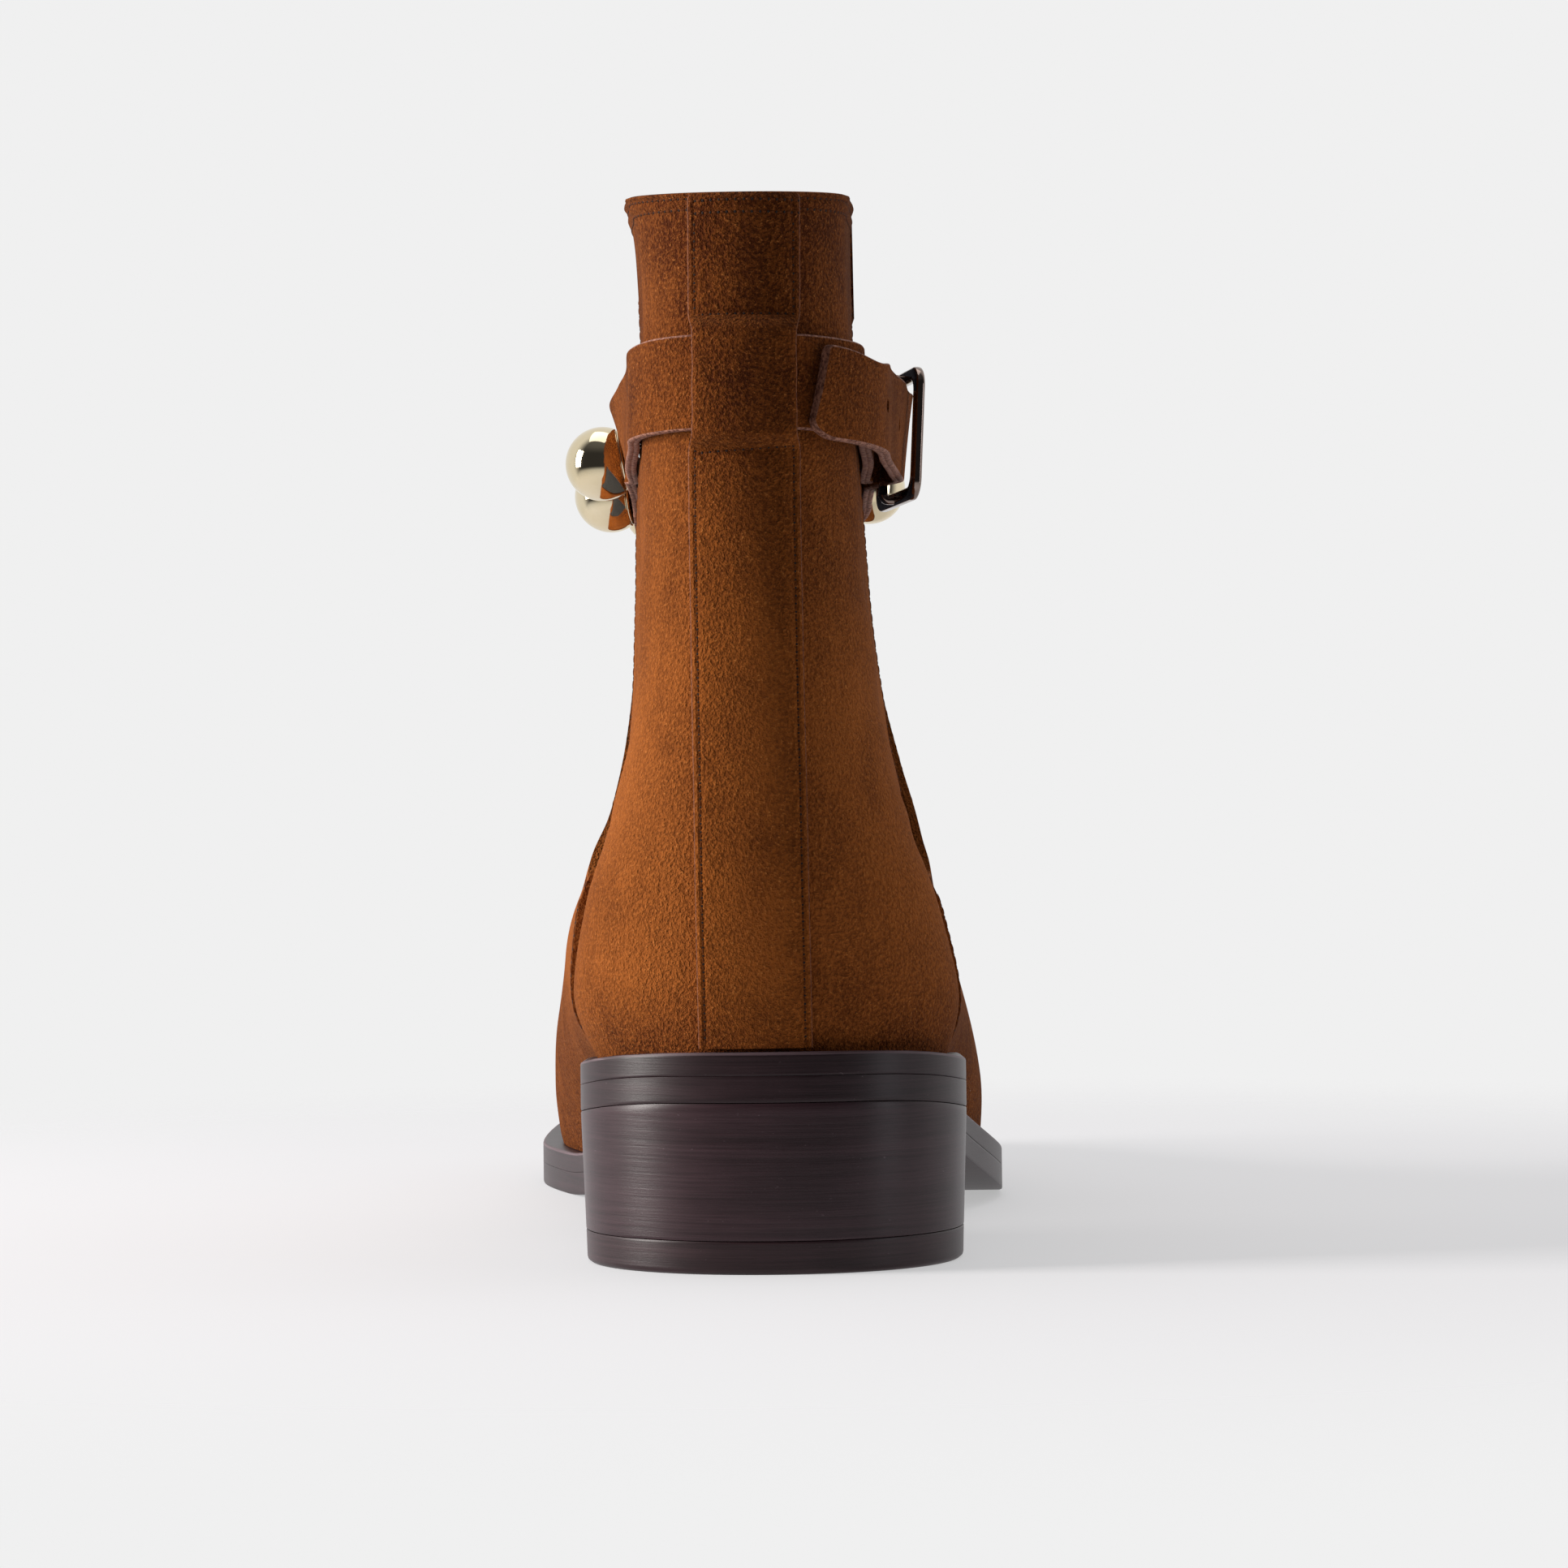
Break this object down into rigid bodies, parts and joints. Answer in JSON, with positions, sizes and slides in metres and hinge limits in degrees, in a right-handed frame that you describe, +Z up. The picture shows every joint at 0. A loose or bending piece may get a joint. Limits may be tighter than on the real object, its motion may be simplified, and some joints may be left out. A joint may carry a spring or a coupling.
{
  "type": "ankle boot",
  "caption": "Right ankle boot in tan suede with elastic side panels, a buckled ankle strap with polished ball studs and a dark stacked block heel.",
  "frame": {"origin": "centre of the heel's resting face", "axes": "+Z up, +Y towards the toe, +X towards the outer side of the right foot"},
  "size_m": [0.0889, 0.2626, 0.177],
  "materials": {
    "suede": "napped suede, matte",
    "elastic": "ribbed elastic, matte",
    "sole_edge": "painted edge, satin",
    "heel_leather": "stacked and painted, satin",
    "heel_rubber": "satin",
    "footbed": "smooth, matte",
    "stud_metal": "polished, pale gold",
    "buckle_metal": "polished"
  },
  "bodies": {
    "root": {"welt": "sole_edge", "outsole": "sole_edge", "heel_stack": "heel_leather", "top_lift": "heel_rubber", "insole": "footbed", "upper": "suede", "gore_inner": "elastic", "gore_outer": "elastic", "back_strip": "suede", "ankle_strap": "suede", "stud_1": "stud_metal", "stud_2": "stud_metal", "stud_3": "stud_metal", "stud_4": "stud_metal", "stud_5": "stud_metal", "buckle_frame": "buckle_metal", "buckle_prong": "buckle_metal"}
  },
  "joints": []
}
